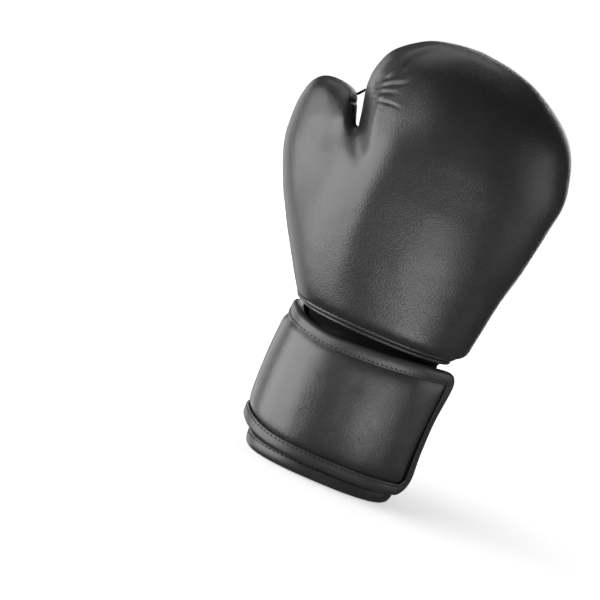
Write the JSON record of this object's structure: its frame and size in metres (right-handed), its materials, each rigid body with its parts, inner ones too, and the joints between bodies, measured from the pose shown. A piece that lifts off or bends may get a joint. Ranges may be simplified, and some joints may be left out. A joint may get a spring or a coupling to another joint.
{
  "type": "boxing glove",
  "caption": "Padded right-hand boxing glove with a moulded fist, joined thumb, slotted palm and a wrap-around hook-and-loop wrist strap that peels open.",
  "frame": {"origin": "centre of the hand opening in the plane of the cuff's bottom edge", "axes": "+Z from the cuff to the top of the fist, -Y toward the back of the hand, +Y toward the palm, -X toward the thumb"},
  "size_m": [0.1807, 0.1346, 0.285],
  "materials": {
    "shell_leather": "satin black, fine grain",
    "palm_leather": "semi-gloss black",
    "binding_tape": "matt black tape",
    "foam": "cream closed-cell foam",
    "lining_fabric": "black woven lining",
    "hook_and_loop": "black hook-and-loop tape",
    "cord": "black braided tie"
  },
  "bodies": {
    "glove": {"back_shell": "shell_leather", "palm_panel": "palm_leather", "thumb_inner_panel": "palm_leather", "thumb_side_gusset": "palm_leather", "little_side_gusset": "palm_leather", "slot_patch": "palm_leather", "slot_piping": "binding_tape", "finger_roll": "palm_leather", "back_foam": "foam", "knuckle_foam": "foam", "thumb_foam": "foam", "palm_foam": "foam", "hand_lining": "lining_fabric", "thumb_lining": "lining_fabric", "grip_bar": "foam", "thumb_tie": "cord", "vent_eyelets": "binding_tape", "wrist_piping": "binding_tape", "cuff_shell": "shell_leather", "cuff_foam": "foam", "cuff_lining": "lining_fabric", "cuff_binding": "binding_tape", "loop_patch": "hook_and_loop", "strap_root_tab": "shell_leather"},
    "strap_palm": {"strap_palm_panel": "shell_leather", "strap_palm_pad": "foam", "strap_palm_lining": "lining_fabric", "strap_palm_binding": "binding_tape"},
    "strap_back": {"strap_back_panel": "shell_leather", "strap_back_pad": "foam", "strap_back_lining": "lining_fabric", "strap_back_binding": "binding_tape", "hook_patch": "hook_and_loop"}
  },
  "joints": [
    {"name": "strap_lift", "type": "hinge", "parent": "glove", "child": "strap_palm", "pos_m": [0.03173, 0.0413, 0.0525], "axis": [0, 0, -1], "range_deg": [0, 75]},
    {"name": "strap_peel", "type": "hinge", "parent": "strap_palm", "child": "strap_back", "pos_m": [-0.0581, 0, 0.0525], "axis": [0, 0, -1], "range_deg": [0, 150]}
  ],
  "couplings": [
    {"joint": "strap_lift", "follows": "strap_peel", "ratio": 0.5}
  ]
}
